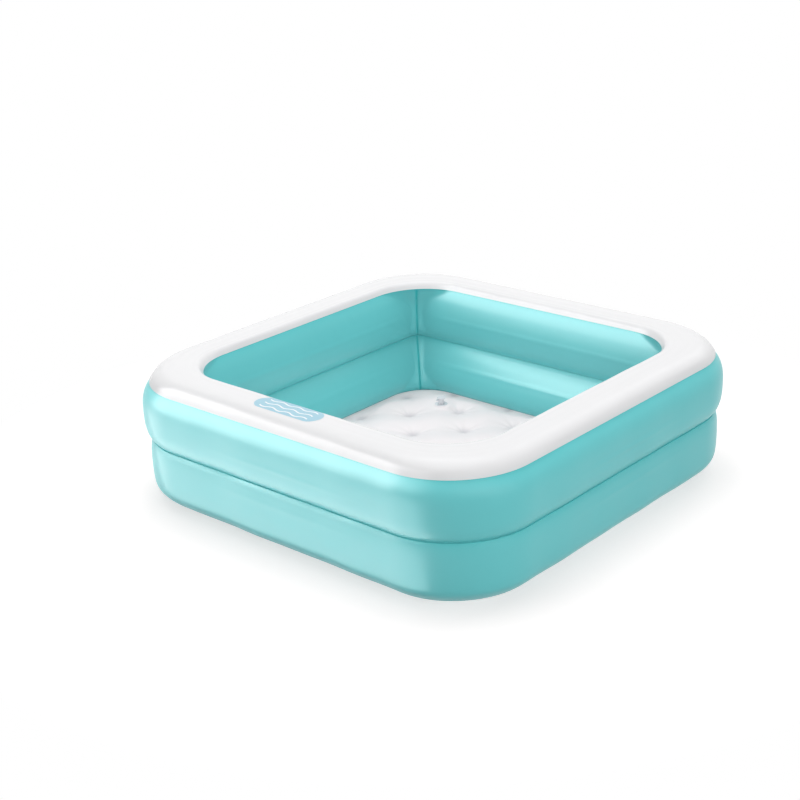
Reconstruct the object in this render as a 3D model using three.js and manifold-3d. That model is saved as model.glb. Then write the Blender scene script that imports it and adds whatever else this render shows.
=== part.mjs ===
// Inflatable paddling pool for small children: a square pool of two stacked air rings
// with a white rim, blue-green walls and a quilted inflatable floor.
// Millimetres, +Z up. The origin is on the ground under the middle of the pool and -Y is the front.
// Every film is a thin sheet, and two films that are welded together lie a small gap apart.

import * as THREE from "three";
import { mergeVertices } from "three/addons/utils/BufferGeometryUtils.js";
import Module from "manifold-3d";

const wasm = await Module();
wasm.setup();

// Film and welds
const film = 0.25;
const weldGap = 0.3;
const weldWidth = 6;

// Pool: half its width over the upper ring, and its height
const poolHalf = 425;
const poolHeight = 250;

// Rim: the seams at its two edges, counted in from the pool's side and down from its top
const outerSeamInset = 14.5;
const outerSeamDrop = 24;
const outerSeamRadius = 152;
const innerSeamInset = 96;
const innerSeamDrop = 13;
const innerSeamRadius = 112;

// Crease where the two rings meet, outside and inside
const creaseHeight = 120.4;
const outerCreaseInset = 14.5;
const outerCreaseRadius = 150;
const innerCreaseInset = 93;
const innerCreaseRadius = 22;

// Lower ring: its widest line, and the line where it leaves the ground
const lowerBulgeInset = 7;
const groundInset = 55;
const groundRadius = 113;

// Inner walls: how far each band bulges into the basin, and how sharp its corners are there
const innerBulge = 18;
const innerBulgeRadius = 18;

// Line where the inner wall meets the floor, and the wall's foot below it
const floorEdgeInset = 116;
const floorEdgeHeight = 18;
const floorEdgeRadius = 80;
const footReach = 6;

// Quilted floor: spot welds on a diagonal lattice, half a pitch apart in each row and column
const quiltPitch = 71;
const quiltOffsetX = 8;
const quiltOffsetY = 17;
const dimpleHeight = 18;
const crownHeight = 33;
const quiltMargin = 50;
const floorCornerEase = 4;
const floorWallGap = 0.6;

// Valves: a welded collar, a stem that presses in, a plug on a strap, and a check flap inside
const flangeRadius = 13;
const flangeThickness = 0.8;
const flangeBevel = 0.4;
const skirtDepth = 3;
const skirtWall = 1;
const stemRadius = 5.6;
const stemBoreRadius = 3.7;
const stemLength = 17.5;
const stemRunningGap = 0.4;
const lipRadius = 7.2;
const lipThickness = 1.4;
const lipRest = 0.5;
const capRadius = 8.5;
const capThickness = 1.4;
const capBevel = 0.5;
const shankLength = 7;
const shankTaper = 0.4;
const shankPoint = 1.5;
const tabLength = 4.5;
const tabWidth = 5;
const tabThickness = 1;
const strapReach = 5.5;
const strapWidth = 3.5;
const strapThickness = 0.8;
const flapRadius = 5;
const flapThickness = 0.6;
const flapTongue = 1.4;
const flapTongueWidth = 4;
const valvePadHalf = 15;

// Places of the valves: the floor's is counted in from the floor's edge, in x and in y
const floorValveInsetX = 132;
const floorValveInsetY = 84;
const upperValveX = -120;
const lowerValveX = 120;

// Fineness of the curved films and of the valves
const cornerSteps = 6;
const valveSides = 16;
const quiltStepsPerPitch = 2;
const shortestGridStep = 3.2;

// Hand-chosen shares: height up a band against how far its bulge has come out
const upperOuterHeightShares = [0.08, 0.22, 0.4, 0.66, 0.84];
const upperOuterBulgeShares = [0.5, 0.86, 1, 1, 0.7];
const lowerOuterHeightShares = [0.9, 0.74, 0.42, 0.24, 0.1, 0.04];
const lowerOuterBulgeShares = [0.96, 1, 1, 0.92, 0.6, 0.32];
const innerHeightShares = [0.08, 0.24, 0.5, 0.76, 0.92];
const innerBulgeShares = [0.5, 0.92, 0.96, 0.62, 0.26];
const rimAcrossShares = [0.1, 0.26, 0.45, 0.58, 0.78, 0.92];
const rimRiseShares = [0.5, 0.88, 0.99, 1, 0.98, 0.86];

// Shares that keep a shape sound: the sharpest mitre of a film, and the level ground about a valve's pad
const mitreLimitShare = 0.5;
const padSlackShare = 0.01;

const mix = (from, to, share) => from + (to - from) * share;

const tealFilm = new THREE.MeshStandardMaterial({ color: 0x86cdd3, roughness: 0.28, metalness: 0 });
const whiteFilm = new THREE.MeshStandardMaterial({ color: 0xf5f6f7, roughness: 0.25, metalness: 0 });
const clearFilm = new THREE.MeshStandardMaterial({ color: 0xfbfbfc, roughness: 0.2, metalness: 0 });
const valvePlastic = new THREE.MeshStandardMaterial({ color: 0xdfe8f2, roughness: 0.3, metalness: 0 });

// A line round the pool is a rounded square: its half width, the place of its corner arcs' centre,
// which is as far out in x as in y, and its height.
function line(half, radius, z) {
  return { half, centre: half - radius, z };
}

function between(a, b, share) {
  return {
    half: mix(a.half, b.half, share),
    centre: mix(a.centre, b.centre, share),
    z: mix(a.z, b.z, share),
  };
}

const weldStep = film + weldGap;
const outerSeam = line(poolHalf - outerSeamInset, outerSeamRadius, poolHeight - outerSeamDrop);
const innerSeam = line(poolHalf - innerSeamInset, innerSeamRadius, poolHeight - innerSeamDrop);
const outerCrease = line(poolHalf - outerCreaseInset, outerCreaseRadius, creaseHeight);
const innerCrease = line(poolHalf - innerCreaseInset, innerCreaseRadius, creaseHeight);
const groundLine = line(poolHalf - groundInset, groundRadius, weldStep);
const floorEdge = line(poolHalf - floorEdgeInset, floorEdgeRadius, floorEdgeHeight);

// Moves the points of a profile sideways in the plane of half width and height.
function offset(points, distance) {
  return points.map((point, i) => {
    const before = points[Math.max(i - 1, 0)];
    const after = points[Math.min(i + 1, points.length - 1)];
    const into = new THREE.Vector2(point.half - before.half, point.z - before.z);
    const out = new THREE.Vector2(after.half - point.half, after.z - point.z);
    const first = into.lengthSq() > 0 ? into.normalize() : out.clone().normalize();
    const second = out.lengthSq() > 0 ? out.normalize() : first;
    const normal = new THREE.Vector2(-first.y - second.y, first.x + second.x).normalize();
    const square = Math.max(normal.dot(new THREE.Vector2(-first.y, first.x)), mitreLimitShare);
    return {
      half: point.half + (normal.x * distance) / square,
      centre: point.centre,
      z: point.z + (normal.y * distance) / square,
    };
  });
}

// The stations of an outline: the signs of a corner, the angle on its arc, and a pull along the line.
function wholeOutline() {
  const stations = [];
  for (let corner = 0; corner < 4; corner += 1) {
    for (let step = 0; step <= cornerSteps; step += 1) {
      stations.push({ corner, angle: (corner + step / cornerSteps) * (Math.PI / 2), pull: 0 });
    }
  }
  return stations;
}

// One side's stretch of an outline, from the diagonal before it to the diagonal after it.
function sideOutline(side) {
  const stations = [];
  const half = cornerSteps / 2;
  for (let step = -half; step <= 0; step += 1) {
    const pull = step === -half ? weldGap / 2 : 0;
    stations.push({ corner: (side + 3) % 4, angle: (side + step / cornerSteps) * (Math.PI / 2), pull });
  }
  for (let step = 0; step <= half; step += 1) {
    const pull = step === half ? -weldGap / 2 : 0;
    stations.push({ corner: side, angle: (side + step / cornerSteps) * (Math.PI / 2), pull });
  }
  return stations;
}

function place(point, station) {
  const cornerX = station.corner === 0 || station.corner === 3 ? 1 : -1;
  const cornerY = station.corner < 2 ? 1 : -1;
  const radius = point.half - point.centre;
  const cos = Math.cos(station.angle);
  const sin = Math.sin(station.angle);
  return [
    cornerX * point.centre + radius * cos - station.pull * sin,
    cornerY * point.centre + radius * sin + station.pull * cos,
    point.z,
  ];
}

// A mesh whose triangles are turned outwards as a whole, found from the sign of its volume.
function closedGeometry(positions, triangles) {
  const corner = (index) => new THREE.Vector3(...positions[index]);
  let volume = 0;
  for (const [a, b, c] of triangles) {
    volume += corner(a).dot(corner(b).cross(corner(c)));
  }
  const turned = volume > 0 ? triangles : triangles.map(([a, b, c]) => [a, c, b]);
  const geometry = new THREE.BufferGeometry();
  geometry.setAttribute("position", new THREE.Float32BufferAttribute(positions.flat(), 3));
  geometry.setIndex(turned.flat());
  geometry.computeVertexNormals();
  return geometry;
}

// A film whose face follows a profile all along an outline, with its thickness on one side of it.
function filmGeometry(face, thickness, stations, goesRound) {
  const loop = [...face, ...offset(face, thickness).reverse()];
  const positions = stations.flatMap((station) => loop.map((point) => place(point, station)));
  const triangles = [];
  const spans = goesRound ? stations.length : stations.length - 1;
  for (let span = 0; span < spans; span += 1) {
    const here = span * loop.length;
    const next = ((span + 1) % stations.length) * loop.length;
    for (let i = 0; i < loop.length; i += 1) {
      const j = (i + 1) % loop.length;
      triangles.push([here + i, next + i, next + j], [here + i, next + j, here + j]);
    }
  }
  if (!goesRound) {
    const last = (stations.length - 1) * loop.length;
    for (let i = 0; i < face.length - 1; i += 1) {
      const back = loop.length - 1 - i;
      triangles.push([i, i + 1, back], [i + 1, back - 1, back]);
      triangles.push([last + i, last + back, last + i + 1], [last + i + 1, last + back, last + back - 1]);
    }
  }
  return closedGeometry(positions, triangles);
}

function toSolid(geometry) {
  const bare = geometry.clone();
  bare.deleteAttribute("normal");
  bare.deleteAttribute("uv");
  const merged = mergeVertices(bare);
  const vertProperties = new Float32Array(merged.attributes.position.array);
  const triVerts = new Uint32Array(merged.index.array);
  return new wasm.Manifold(new wasm.Mesh({ numProp: 3, vertProperties, triVerts }));
}

function toGeometry(solid) {
  const mesh = solid.getMesh();
  const geometry = new THREE.BufferGeometry();
  geometry.setAttribute("position", new THREE.Float32BufferAttribute(mesh.vertProperties, 3));
  geometry.setIndex(Array.from(mesh.triVerts));
  geometry.computeVertexNormals();
  return geometry;
}

// Rim: the top film of the upper ring, from its outer seam over the crown to its inner seam
function rimProfile() {
  const crown = rimAcrossShares.map((across, i) => {
    const point = between(outerSeam, innerSeam, across);
    return { ...point, z: mix(point.z, poolHeight, rimRiseShares[i]) };
  });
  return [outerSeam, ...crown, innerSeam];
}

// The end of a wall film that lies welded under the edge of the rim.
function underRim(profile) {
  const reach = Math.hypot(profile[1].half - profile[0].half, profile[1].z - profile[0].z);
  return [profile[0], between(profile[0], profile[1], weldWidth / reach)];
}

function rimSheet() {
  return filmGeometry(rimProfile(), film, wholeOutline(), true);
}

// Upper ring: outer wall from the crease up to the rim
function upperOuterProfile() {
  const crease = { ...outerCrease, z: creaseHeight + film / 2 + weldGap };
  const lapEnd = { ...crease, half: crease.half - weldWidth };
  const bulgeCentre = outerSeam.centre;
  const wall = upperOuterHeightShares.map((height, i) => {
    const chord = between(crease, outerSeam, height);
    const half = mix(chord.half, poolHalf, upperOuterBulgeShares[i]);
    return { half, centre: mix(chord.centre, bulgeCentre, upperOuterBulgeShares[i]), z: chord.z };
  });
  return [lapEnd, crease, ...wall, ...offset(underRim(rimProfile()), weldStep)];
}

// Lower ring: outer wall from the crease down to the ground
function lowerOuterProfile() {
  const crease = { ...outerCrease, z: creaseHeight - film / 2 - weldGap };
  const lapStart = { ...crease, half: crease.half - weldWidth };
  const lapEnd = { ...groundLine, half: groundLine.half - weldWidth };
  const wall = lowerOuterHeightShares.map((height, i) => ({
    half: mix(groundLine.half, poolHalf - lowerBulgeInset, lowerOuterBulgeShares[i]),
    centre: mix(groundLine.centre, crease.centre, height),
    z: mix(groundLine.z, crease.z, height),
  }));
  return [lapStart, crease, ...wall, groundLine, lapEnd];
}

// A band of the inner wall between two lines, bulging into the basin
function innerBand(low, high) {
  return innerHeightShares.map((height, i) => {
    const chord = between(low, high, height);
    const half = chord.half - innerBulge * innerBulgeShares[i];
    const radius = mix(chord.half - chord.centre, innerBulgeRadius, innerBulgeShares[i]);
    return line(half, radius, chord.z);
  });
}

function upperInnerProfile() {
  const crease = { ...innerCrease, z: creaseHeight + film / 2 + weldGap };
  const lapEnd = { ...crease, half: crease.half + weldWidth };
  const lap = offset(underRim(rimProfile().reverse()), -weldStep);
  return [lapEnd, crease, ...innerBand(crease, innerSeam), ...lap];
}

function lowerInnerProfile() {
  const crease = { ...innerCrease, z: creaseHeight - film / 2 - weldGap };
  const lapStart = { ...crease, half: crease.half + weldWidth };
  const foot = { half: floorEdge.half + footReach, centre: floorEdge.centre, z: weldStep };
  const lapEnd = { ...foot, half: foot.half + weldWidth };
  return [lapStart, crease, ...innerBand(floorEdge, crease).reverse(), floorEdge, foot, lapEnd];
}

// Divider: the flat film between the two rings, which keeps their air apart
function ringDivider() {
  const face = [outerCrease, innerCrease].map((point) => ({ ...point, z: creaseHeight - film / 2 }));
  return filmGeometry(face, -film, wholeOutline(), true);
}

// Base: the flat film on the ground under both rings and the floor
function baseSheet() {
  const { half, centre } = groundLine;
  const shape = new THREE.Shape();
  for (let corner = 0; corner < 4; corner += 1) {
    const x = corner === 0 || corner === 3 ? centre : -centre;
    const y = corner < 2 ? centre : -centre;
    shape.absarc(x, y, half - centre, (corner * Math.PI) / 2, ((corner + 1) * Math.PI) / 2, false);
  }
  shape.closePath();
  return new THREE.ExtrudeGeometry(shape, { depth: film, bevelEnabled: false, curveSegments: cornerSteps });
}

// Height of the quilted floor: down at each spot weld, up between them, level at the edge
function quiltHeight(x, y) {
  const wave = Math.cos((Math.PI * (x - quiltOffsetX)) / quiltPitch)
    * Math.cos((Math.PI * (y - quiltOffsetY)) / quiltPitch);
  const quilt = mix(dimpleHeight, crownHeight, Math.sqrt(Math.max(1 + wave, 0) / 2));
  const beyond = [x, y].map((at) => Math.max(Math.abs(at) - floorEdge.centre, 0));
  const inside = floorEdgeRadius - Math.hypot(...beyond);
  const share = THREE.MathUtils.smoothstep(inside, 0, quiltMargin);
  return mix(floorEdgeHeight, quilt, share);
}

const floorValveX = floorValveInsetX - floorEdge.half;
const floorValveY = floorEdge.half - floorValveInsetY;
const floorValveHeight = quiltHeight(floorValveX, floorValveY);

function floorHeight(x, y) {
  const slack = valvePadHalf * (1 + padSlackShare);
  const onPad = Math.abs(x - floorValveX) < slack && Math.abs(y - floorValveY) < slack;
  return onPad ? floorValveHeight : quiltHeight(x, y);
}

// The grid lines of the floor: both edges, the lattice and its halves, and the pad under the valve
function gridLines(latticeOffset, valveAt, half) {
  const step = quiltPitch / quiltStepsPerPitch;
  const fixed = [-half, half, valveAt - valvePadHalf, valveAt + valvePadHalf];
  const lattice = [];
  const count = Math.ceil((2 * half) / step);
  for (let i = -count; i <= count; i += 1) {
    const at = latticeOffset + i * step;
    const free = fixed.every((other) => Math.abs(at - other) > shortestGridStep);
    if (free && Math.abs(at) < half) lattice.push(at);
  }
  return [...fixed, ...lattice].sort((a, b) => a - b);
}

// Floor: the quilted upper film, turned down at its edge and welded to the base beside the inner wall
function floorSheet() {
  const half = floorEdge.half - floorWallGap;
  const radius = floorEdgeRadius + floorCornerEase;
  const columns = gridLines(quiltOffsetX, floorValveX, half);
  const rows = gridLines(quiltOffsetY, floorValveY, half);
  const positions = [];
  const triangles = [];
  const rounded = (x, y, inset) => {
    const reach = half - inset;
    const px = THREE.MathUtils.clamp(x, -reach, reach);
    const py = THREE.MathUtils.clamp(y, -reach, reach);
    const centre = half - radius;
    const u = Math.max(Math.abs(px) - centre, 0) / (reach - centre);
    const v = Math.max(Math.abs(py) - centre, 0) / (reach - centre);
    if (u === 0 || v === 0) return [px, py];
    const across = centre + (reach - centre) * u * Math.sqrt(1 - (v * v) / 2);
    const along = centre + (reach - centre) * v * Math.sqrt(1 - (u * u) / 2);
    return [Math.sign(px) * across, Math.sign(py) * along];
  };
  const grid = (inset) => rows.map((y) => columns.map((x) => {
    const [px, py] = rounded(x, y, inset);
    positions.push([px, py, floorHeight(px, py) - inset]);
    return positions.length - 1;
  }));
  const upper = grid(0);
  const under = grid(film);
  const quads = (g, flip) => {
    for (let j = 0; j < rows.length - 1; j += 1) {
      for (let i = 0; i < columns.length - 1; i += 1) {
        const [a, b, c, d] = [g[j][i], g[j][i + 1], g[j + 1][i + 1], g[j + 1][i]];
        const pair = (i + j) % 2 ? [[a, b, c], [a, c, d]] : [[a, b, d], [b, c, d]];
        triangles.push(...(flip ? pair.map(([p, q, r]) => [p, r, q]) : pair));
      }
    }
  };
  quads(upper, false);
  quads(under, true);
  const border = (g) => {
    const top = g.length - 1;
    const right = g[0].length - 1;
    const loop = g[0].slice(0, right);
    for (let j = 0; j < top; j += 1) loop.push(g[j][right]);
    for (let i = right; i > 0; i -= 1) loop.push(g[top][i]);
    for (let j = top; j > 0; j -= 1) loop.push(g[j][0]);
    return loop;
  };
  const drop = (loop) => loop.map((index) => {
    positions.push([positions[index][0], positions[index][1], weldStep]);
    return positions.length - 1;
  });
  const strip = (from, to) => {
    for (let i = 0; i < from.length; i += 1) {
      const j = (i + 1) % from.length;
      triangles.push([from[i], to[i], to[j]], [from[i], to[j], from[j]]);
    }
  };
  const outerTop = border(upper);
  const innerTop = border(under);
  const outerFoot = drop(outerTop);
  const innerFoot = drop(innerTop);
  strip(outerTop, outerFoot);
  strip(outerFoot, innerFoot);
  strip(innerFoot, innerTop);
  return closedGeometry(positions, triangles);
}

// Valve pieces, made round their own +Z, which points out of the film, with z = 0 on the film's face
const collarTop = weldGap + flangeThickness;
const collarBore = stemRadius + stemRunningGap;
const skirtRadius = collarBore + skirtWall;
const filmHoleRadius = skirtRadius + weldGap;
const pressedMouth = collarTop + lipRest + lipThickness;
const standingMouth = stemLength - skirtDepth - weldGap - lipThickness;

function lathe(profile) {
  const points = profile.map(([radius, z]) => new THREE.Vector2(radius, z));
  const geometry = new THREE.LatheGeometry(points, valveSides);
  return geometry.rotateX(Math.PI / 2);
}

function valveCollar() {
  return lathe([
    [collarBore, -skirtDepth],
    [skirtRadius, -skirtDepth],
    [skirtRadius, weldGap],
    [flangeRadius, weldGap],
    [flangeRadius, collarTop - flangeBevel],
    [flangeRadius - flangeBevel, collarTop],
    [collarBore, collarTop],
    [collarBore, -skirtDepth],
  ]);
}

function valveStem(mouth) {
  const foot = mouth - stemLength;
  return lathe([
    [stemBoreRadius, foot],
    [lipRadius, foot],
    [lipRadius, foot + lipThickness],
    [stemRadius, foot + lipThickness],
    [stemRadius, mouth - lipThickness],
    [lipRadius, mouth - lipThickness],
    [lipRadius, mouth],
    [stemBoreRadius, mouth],
    [stemBoreRadius, foot],
  ]);
}

function valvePlug(mouth) {
  const shankRadius = stemBoreRadius - weldGap;
  const capFoot = mouth + weldGap;
  const capTop = capFoot + capThickness;
  const body = lathe([
    [0, mouth - shankLength],
    [shankRadius - shankTaper, mouth - shankLength],
    [shankRadius, mouth - shankLength + shankPoint],
    [shankRadius, capFoot],
    [capRadius, capFoot],
    [capRadius, capTop - capBevel],
    [capRadius - capBevel, capTop],
    [0, capTop],
  ]);
  const overlap = capRadius / 2;
  const tab = new THREE.BoxGeometry(tabWidth, tabLength + overlap, tabThickness);
  tab.translate(0, capRadius - overlap + (tabLength + overlap) / 2, capFoot + capThickness / 2);
  return toGeometry(toSolid(body).add(toSolid(tab)));
}

// The strap is a flat loop from the stem's lip out and back to the edge of the cap.
function valveStrap(mouth) {
  const root = lipRadius + weldGap;
  const tip = capRadius + weldGap;
  const low = mouth - lipThickness / 2;
  const high = mouth + weldGap + capThickness / 2;
  const bend = (high - low) / 2;
  const bendAt = tip + strapReach - bend;
  const thick = strapThickness / 2;
  const shape = new THREE.Shape();
  shape.moveTo(root, low - thick);
  shape.absarc(bendAt, low + bend, bend + thick, -Math.PI / 2, Math.PI / 2, false);
  shape.lineTo(tip, high + thick);
  shape.lineTo(tip, high - thick);
  shape.absarc(bendAt, low + bend, bend - thick, Math.PI / 2, -Math.PI / 2, true);
  shape.lineTo(root, low + thick);
  shape.closePath();
  const options = { depth: strapWidth, bevelEnabled: false, curveSegments: cornerSteps };
  const geometry = new THREE.ExtrudeGeometry(shape, options);
  geometry.translate(0, 0, -strapWidth / 2);
  return geometry.rotateX(Math.PI / 2).rotateZ(-Math.PI / 2);
}

function valveFlap(mouth) {
  const top = mouth - stemLength - weldGap;
  const tongueHalf = flapTongueWidth / 2;
  const joinAngle = Math.asin(tongueHalf / flapRadius);
  const shape = new THREE.Shape();
  shape.absarc(0, 0, flapRadius, joinAngle - Math.PI / 2, 1.5 * Math.PI - joinAngle, false);
  shape.lineTo(-tongueHalf, -flapRadius - flapTongue);
  shape.lineTo(tongueHalf, -flapRadius - flapTongue);
  shape.closePath();
  const options = { depth: flapThickness, bevelEnabled: false, curveSegments: valveSides / 2 };
  const geometry = new THREE.ExtrudeGeometry(shape, options);
  return geometry.translate(0, 0, top - flapThickness);
}

const pool = new THREE.Group();

function addPiece(parent, name, geometry, material) {
  const mesh = new THREE.Mesh(geometry, material);
  mesh.name = name;
  parent.add(mesh);
  return mesh;
}

// Where each valve sits: the group's place is on the film and its +Z points out of the film.
function addValve(name, mouth, position, rotationX) {
  const valve = new THREE.Group();
  valve.position.copy(position);
  valve.rotation.x = rotationX;
  addPiece(valve, `${name}_collar`, valveCollar(), valvePlastic);
  addPiece(valve, `${name}_stem`, valveStem(mouth), valvePlastic);
  addPiece(valve, `${name}_plug`, valvePlug(mouth), valvePlastic);
  addPiece(valve, `${name}_strap`, valveStrap(mouth), valvePlastic);
  addPiece(valve, `${name}_flap`, valveFlap(mouth), valvePlastic);
  pool.add(valve);
  return valve;
}

// A film with the round hole that a valve's skirt passes through.
function withValveHole(geometry, valve) {
  const drill = new THREE.CylinderGeometry(filmHoleRadius, filmHoleRadius, flangeRadius, valveSides);
  drill.rotateX(Math.PI / 2);
  valve.updateMatrixWorld(true);
  drill.applyMatrix4(valve.matrixWorld);
  return toGeometry(toSolid(geometry).subtract(toSolid(drill)));
}

const outwards = -Math.PI / 2;
const upperValveHeight = mix(
  creaseHeight,
  outerSeam.z,
  (upperOuterHeightShares[2] + upperOuterHeightShares[3]) / 2,
);
const lowerValveHeight = creaseHeight * ((lowerOuterHeightShares[1] + lowerOuterHeightShares[2]) / 2);
const floorValveAt = new THREE.Vector3(floorValveX, floorValveY, floorValveHeight);
const upperValveAt = new THREE.Vector3(upperValveX, poolHalf, upperValveHeight);
const lowerValveAt = new THREE.Vector3(lowerValveX, poolHalf - lowerBulgeInset, lowerValveHeight);

const floorValve = addValve("floor_valve", standingMouth, floorValveAt, 0);
const upperValve = addValve("upper_ring_valve", pressedMouth, upperValveAt, outwards);
const lowerValve = addValve("lower_ring_valve", pressedMouth, lowerValveAt, outwards);

addPiece(pool, "rim_sheet", rimSheet(), whiteFilm);
const upperOuterWall = filmGeometry(upperOuterProfile(), film, wholeOutline(), true);
addPiece(pool, "upper_outer_wall", withValveHole(upperOuterWall, upperValve), tealFilm);
const lowerOuterWall = filmGeometry(lowerOuterProfile(), -film, wholeOutline(), true);
addPiece(pool, "lower_outer_wall", withValveHole(lowerOuterWall, lowerValve), tealFilm);
["right", "back", "left", "front"].forEach((side, index) => {
  const upper = filmGeometry(upperInnerProfile(), -film, sideOutline(index), false);
  addPiece(pool, `upper_inner_wall_${side}`, upper, tealFilm);
  const lower = filmGeometry(lowerInnerProfile(), film, sideOutline(index), false);
  addPiece(pool, `lower_inner_wall_${side}`, lower, tealFilm);
});
addPiece(pool, "ring_divider", ringDivider(), tealFilm);
addPiece(pool, "base_sheet", baseSheet(), whiteFilm);
addPiece(pool, "floor_sheet", withValveHole(floorSheet(), floorValve), clearFilm);

export default pool;
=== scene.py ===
"""Inflatable paddling pool for small children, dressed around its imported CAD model.

A square pool of two stacked air rings: a white rim, blue-green walls inside and out, a quilted
inflatable floor, and three soft air valves. Metres, +Z up, the origin on the ground under the middle
of the pool, the front towards -Y. The sizes repeat the CAD source's, so each film lies on its solid.
"""

import math

import bpy
import numpy as np
from mathutils import Matrix, Vector


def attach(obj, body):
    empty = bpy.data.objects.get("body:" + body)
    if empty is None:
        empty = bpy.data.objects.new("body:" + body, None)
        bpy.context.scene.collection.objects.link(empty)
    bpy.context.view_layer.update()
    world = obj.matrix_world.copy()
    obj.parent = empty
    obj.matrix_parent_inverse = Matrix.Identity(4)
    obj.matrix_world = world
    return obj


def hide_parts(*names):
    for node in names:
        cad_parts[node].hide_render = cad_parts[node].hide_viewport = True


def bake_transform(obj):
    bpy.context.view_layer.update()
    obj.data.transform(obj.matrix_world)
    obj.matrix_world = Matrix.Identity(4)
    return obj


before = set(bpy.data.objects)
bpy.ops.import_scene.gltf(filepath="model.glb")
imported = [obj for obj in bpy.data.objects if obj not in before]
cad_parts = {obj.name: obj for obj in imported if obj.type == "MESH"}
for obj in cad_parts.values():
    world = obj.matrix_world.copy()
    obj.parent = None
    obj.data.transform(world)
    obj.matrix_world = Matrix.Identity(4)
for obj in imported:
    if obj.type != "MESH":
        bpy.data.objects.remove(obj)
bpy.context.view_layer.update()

# Camera. It looks down over the near corner of the pool, from the right of the front, with the
# pool below the middle of the picture and the picture leaning a little to one side.
view_azimuth = math.radians(42.2)
view_elevation = math.radians(21.6)
view_lean = math.radians(-2.3)
view_distance = 2.8596
view_slide_right = 0.0641
view_slide_up = -0.1448
focal_length_mm = 68.28

view_back = Vector((
    math.sin(view_azimuth) * math.cos(view_elevation),
    -math.cos(view_azimuth) * math.cos(view_elevation),
    math.sin(view_elevation),
))
level_right = Vector((math.cos(view_azimuth), math.sin(view_azimuth), 0))
level_up = view_back.cross(level_right)
view_right = level_right * math.cos(view_lean) + level_up * math.sin(view_lean)
view_up = level_up * math.cos(view_lean) - level_right * math.sin(view_lean)

camera_data = bpy.data.cameras.new("camera")
camera_data.lens = focal_length_mm
camera = bpy.data.objects.new("camera", camera_data)
camera_place = view_back * view_distance - level_right * view_slide_right - level_up * view_slide_up
camera_turn = Matrix((view_right, view_up, view_back)).transposed()
camera.matrix_world = Matrix.Translation(camera_place) @ camera_turn.to_4x4()
bpy.context.scene.collection.objects.link(camera)
bpy.context.scene.camera = camera

# Base sheet: a flat white PVC film on the ground under both rings and the floor. The lower ring's
# walls and the floor are heat-welded to it along its edge.
film = 0.00025
weld_gap = 0.0003
weld_step = film + weld_gap
pool_half = 0.425
ground_inset = 0.055
ground_radius = 0.113
base_steps = 16
corner_steps = 22
side_steps = 40
merge_distance = 0.000001
sharp_edge_angle = math.radians(50)
cloud_noise = {"Scale": 7, "Detail": 3}
handling_noise = {"Scale": 45, "Detail": 4}
slack_noise = {"Scale": 22, "Detail": 1}
grain_noise = {"Scale": 260, "Detail": 2}
film_gloss = 0.25
base_white = (0.78, 0.79, 0.8, 1)
base_weld_white = (0.7, 0.71, 0.72, 1)

corner_signs = np.array([(1, 1), (-1, 1), (-1, -1), (1, -1)], float)


def mix(start, end, share):
    """What lies a share of the way from the start to the end."""
    return start + (end - start) * share


def line(half, radius, height):
    """A line round the pool, which is a rounded square: its half width, how far out in x and in y
    the centres of its corner arcs are, and its height."""
    return np.array((half, half - radius, height))


def whole_outline(bend_steps, run_steps):
    """Stations once round the pool, as the signs of the corner that each belongs to and the way it
    faces. In a corner the signs stay and the way turns by a quarter; on a side the signs run from
    one corner's to the next one's."""
    bend = np.arange(bend_steps) / bend_steps
    run = np.arange(run_steps) / run_steps
    quarter = np.arange(4)[:, None]
    turn = np.hstack([quarter + bend, quarter + np.ones(run_steps)]) * np.pi / 2
    here = corner_signs[:, None]
    after = np.roll(corner_signs, -1, axis=0)[:, None]
    bends = np.repeat(here, bend_steps, axis=1)
    signs = np.concatenate([bends, mix(here, after, run[:, None])], axis=1)
    return signs.reshape(-1, 2), turn.ravel()


def placed(outline, profile):
    """Points [station, profile point]: x is the corner's sign times the arc's centre, plus the
    arc's radius times the cosine of the way faced, y is the same with the sine, and z the height."""
    signs, turn = outline
    half, centre, height = np.moveaxis(profile, -1, 0)
    x = signs[:, :1] * centre + (half - centre) * np.cos(turn)[:, None]
    y = signs[:, 1:] * centre + (half - centre) * np.sin(turn)[:, None]
    return np.stack([x, y, np.broadcast_to(height, x.shape)], axis=-1)


def beside(profile, distance):
    """The profile moved sideways by a distance: its step from point to point, turned by a quarter
    in the plane of half width and height, gives the way to move."""
    step = np.gradient(profile, axis=-2)
    normal = np.stack([-step[..., 2], 0 * step[..., 1], step[..., 0]], axis=-1)
    return profile + distance * normal / np.linalg.norm(normal, axis=-1, keepdims=True)


def new_piece(name, places, quads, body, weld_and_shade=None):
    """A smooth mesh object at the origin that rides on a body. Its faces are turned outwards, found
    from the sign of the sum of each quad's two corner products, which is six times the volume."""
    a, b, c, d = (places[quads[:, i]] for i in range(4))
    volume = np.sum(a * (np.cross(b, c) + np.cross(c, d)))
    mesh = bpy.data.meshes.new(name)
    mesh.from_pydata(places.tolist(), [], (quads if volume > 0 else quads[:, ::-1]).tolist())
    mesh.polygons.foreach_set("use_smooth", np.ones(len(quads), bool))
    if weld_and_shade is not None:
        mesh.attributes.new("weld_and_shade", "FLOAT", "POINT").data.foreach_set("value", weld_and_shade.ravel())
    mesh.set_sharp_from_angle(angle=sharp_edge_angle)
    piece = bpy.data.objects.new(name, mesh)
    bpy.context.scene.collection.objects.link(piece)
    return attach(piece, body) if body else piece


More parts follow.
